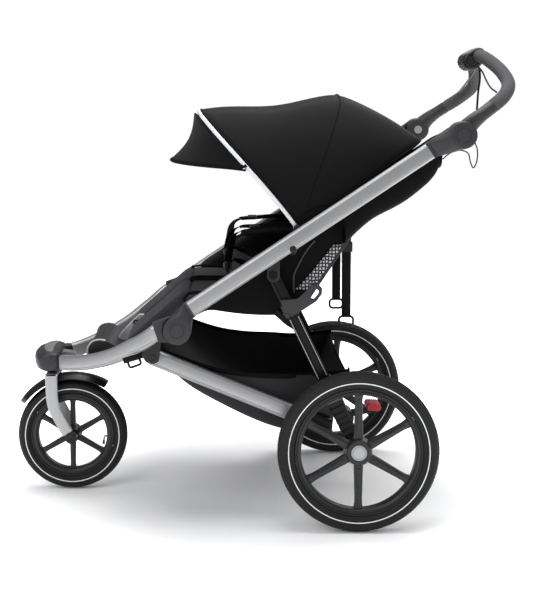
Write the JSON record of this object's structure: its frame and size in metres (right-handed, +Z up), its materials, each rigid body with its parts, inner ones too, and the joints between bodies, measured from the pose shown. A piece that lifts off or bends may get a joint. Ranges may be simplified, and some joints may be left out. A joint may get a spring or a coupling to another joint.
{
  "type": "two-seat folding stroller",
  "caption": "Three-wheeled folding stroller with side-by-side padded seats, a shared canopy with a visor, a tilting handlebar, a basket and a swivelling front wheel.",
  "frame": {"origin": "on the ground, in the middle of the stroller's length and width", "axes": "+Z up; the stroller travels towards -X; its left side is on -Y"},
  "size_m": [1.3039, 0.772, 1.203],
  "materials": {
    "aluminium": "brushed",
    "dark_plastic": "fine grain",
    "black_plastic": "matt",
    "grey_plastic": "satin",
    "red_plastic": "satin",
    "tyre": "matt rubber with a pale line",
    "foam_rubber": "matt foam",
    "block_rubber": "ribbed",
    "cable": "smooth sheath",
    "black_fabric": "plain weave",
    "seat_fabric": "melange weave over padding",
    "trim_fabric": "reflective piping",
    "steel": "plain",
    "black_steel": "powder coat"
  },
  "bodies": {
    "front_frame": {"front_crosspiece": "dark_plastic", "front_tube_left": "aluminium", "front_tube_right": "aluminium", "hinge_yoke": "dark_plastic", "pivot_bracket_left": "black_plastic", "pivot_bracket_right": "black_plastic", "footrest": "dark_plastic", "leg_rest_left": "seat_fabric", "leg_rest_right": "seat_fabric"},
    "swivel_lock": {"swivel_lock_lever": "grey_plastic"},
    "fork_assembly": {"fork": "aluminium", "front_fender": "black_plastic"},
    "front_wheel": {"front_rim": "dark_plastic", "front_tyre": "tyre"},
    "upper_frame": {"upper_frame_tube": "aluminium", "hinge_cover_left": "dark_plastic", "hinge_cover_right": "dark_plastic", "tilt_bracket_left": "dark_plastic", "tilt_bracket_right": "dark_plastic", "leg_mount_left": "black_plastic", "leg_mount_right": "black_plastic", "seat_sling": "black_fabric", "seat_bottom_left": "seat_fabric", "seat_bottom_right": "seat_fabric", "back_panel": "black_fabric", "canopy": "black_fabric", "harness_left": "black_fabric", "harness_right": "black_fabric", "recline_strap_left": "black_fabric", "recline_strap_right": "black_fabric", "brake_cable_loop": "cable"},
    "reclining_back_left": {"seat_back_left": "seat_fabric"},
    "reclining_back_right": {"seat_back_right": "seat_fabric"},
    "canopy_front": {"canopy_bow": "trim_fabric", "visor": "black_fabric"},
    "canopy_middle": {"canopy_mid_bow": "steel"},
    "visor_edge": {"visor_wire": "black_steel"},
    "handlebar_assembly": {"handlebar": "dark_plastic", "grip_left": "foam_rubber", "grip_right": "foam_rubber", "brake_cable": "cable", "wrist_strap": "black_fabric"},
    "brake_handle": {"brake_grip": "black_plastic"},
    "button_left": {"tilt_button_left": "grey_plastic"},
    "button_right": {"tilt_button_right": "grey_plastic"},
    "lower_frame": {"lower_tube_left": "aluminium", "lower_tube_right": "aluminium", "basket": "black_fabric"},
    "rear_legs": {"rear_leg_left": "black_steel", "rear_leg_right": "black_steel", "suspension_block_left": "block_rubber", "suspension_block_right": "block_rubber"},
    "axle_assembly": {"rear_axle": "black_steel"},
    "parking_brake": {"brake_pedal": "red_plastic"},
    "rear_wheel_left": {"rear_rim_left": "dark_plastic", "rear_tyre_left": "tyre"},
    "rear_wheel_right": {"rear_rim_right": "dark_plastic", "rear_tyre_right": "tyre"},
    "cap_left": {"hub_cap_left": "grey_plastic"},
    "cap_right": {"hub_cap_right": "grey_plastic"}
  },
  "joints": [
    {"name": "frame_fold", "type": "hinge", "parent": "front_frame", "child": "upper_frame", "pos_m": [-0.203, 0, 0.502], "axis": [0, 1, 0], "range_deg": [0, 130], "deforming": ["basket"]},
    {"name": "lower_tube_fold", "type": "hinge", "parent": "front_frame", "child": "lower_frame", "pos_m": [-0.266, 0, 0.424], "axis": [0, 1, 0], "range_deg": [0, 110], "deforming": ["basket"]},
    {"name": "leg_fold", "type": "hinge", "parent": "upper_frame", "child": "rear_legs", "pos_m": [0.032, 0, 0.632], "axis": [0, 1, 0], "range_deg": [-54, 0], "deforming": ["basket"]},
    {"name": "rear_suspension", "type": "slide", "parent": "rear_legs", "child": "axle_assembly", "axis": [-0.4368, 0, 0.8996], "range_m": [-0.004, 0.012], "stiffness_N_per_m": 18000, "springref_m": -0.004, "deforming": ["suspension_block_left", "suspension_block_right"]},
    {"name": "rear_wheel_spin_left", "type": "hinge", "parent": "axle_assembly", "child": "rear_wheel_left", "pos_m": [0.242, -0.357, 0.1995], "axis": [0, 1, 0], "continuous": true},
    {"name": "rear_wheel_spin_right", "type": "hinge", "parent": "axle_assembly", "child": "rear_wheel_right", "pos_m": [0.242, 0.357, 0.1995], "axis": [0, 1, 0], "continuous": true},
    {"name": "cap_press_left", "type": "slide", "parent": "rear_wheel_left", "child": "cap_left", "axis": [0, 1, 0], "range_m": [0, 0.0027], "stiffness_N_per_m": 800, "springref_m": -0.002},
    {"name": "cap_press_right", "type": "slide", "parent": "rear_wheel_right", "child": "cap_right", "axis": [0, -1, 0], "range_m": [0, 0.0027], "stiffness_N_per_m": 800, "springref_m": -0.002},
    {"name": "parking_brake_press", "type": "hinge", "parent": "axle_assembly", "child": "parking_brake", "pos_m": [0.242, 0, 0.1995], "axis": [0, 1, 0], "range_deg": [0, 20]},
    {"name": "fork_swivel", "type": "hinge", "parent": "front_frame", "child": "fork_assembly", "pos_m": [-0.554, 0, 0.3], "axis": [0, 0, 1], "continuous": true},
    {"name": "front_wheel_spin", "type": "hinge", "parent": "fork_assembly", "child": "front_wheel", "pos_m": [-0.503, 0, 0.1495], "axis": [0, 1, 0], "continuous": true},
    {"name": "swivel_lock_lift", "type": "hinge", "parent": "front_frame", "child": "swivel_lock", "pos_m": [-0.5261, 0, 0.3746], "axis": [0, -1, 0], "range_deg": [0, 35]},
    {"name": "recline_left", "type": "hinge", "parent": "upper_frame", "child": "reclining_back_left", "pos_m": [0.095, -0.145, 0.536], "axis": [0, 1, 0], "range_deg": [-16, 0], "deforming": ["seat_sling", "back_panel", "harness_left"]},
    {"name": "recline_right", "type": "hinge", "parent": "upper_frame", "child": "reclining_back_right", "pos_m": [0.095, 0.145, 0.536], "axis": [0, 1, 0], "range_deg": [-16, 0], "deforming": ["seat_sling", "back_panel", "harness_right"]},
    {"name": "canopy_fold", "type": "hinge", "parent": "upper_frame", "child": "canopy_front", "pos_m": [0.09, 0, 0.75], "axis": [0, 1, 0], "range_deg": [0, 58], "deforming": ["canopy"]},
    {"name": "canopy_middle_fold", "type": "hinge", "parent": "upper_frame", "child": "canopy_middle", "pos_m": [0.09, 0, 0.75], "axis": [0, 1, 0], "range_deg": [0, 12], "deforming": ["canopy"]},
    {"name": "visor_flip", "type": "hinge", "parent": "canopy_front", "child": "visor_edge", "pos_m": [-0.038, 0, 0.8904], "axis": [0, 1, 0], "range_deg": [0, 38], "deforming": ["visor"]},
    {"name": "handlebar_tilt", "type": "hinge", "parent": "upper_frame", "child": "handlebar_assembly", "pos_m": [0.488, 0, 0.977], "axis": [0, 1, 0], "range_deg": [-30, 40], "deforming": ["brake_cable_loop"]},
    {"name": "brake_twist", "type": "hinge", "parent": "handlebar_assembly", "child": "brake_handle", "pos_m": [0.59, 0, 1.181], "axis": [0, 1, 0], "range_deg": [0, 35], "stiffness_Nm_per_rad": 0.6, "springref_deg": -28.65},
    {"name": "tilt_press_left", "type": "slide", "parent": "handlebar_assembly", "child": "button_left", "axis": [0, -1, 0], "range_m": [0, 0.0035], "stiffness_N_per_m": 800, "springref_m": -0.002},
    {"name": "tilt_press_right", "type": "slide", "parent": "handlebar_assembly", "child": "button_right", "axis": [0, 1, 0], "range_m": [0, 0.0035], "stiffness_N_per_m": 800, "springref_m": -0.002}
  ],
  "couplings": [
    {"joint": "lower_tube_fold", "follows": "frame_fold", "ratio": 0.84},
    {"joint": "leg_fold", "follows": "frame_fold", "ratio": -0.41},
    {"joint": "canopy_middle_fold", "follows": "canopy_fold", "ratio": 0.2}
  ]
}
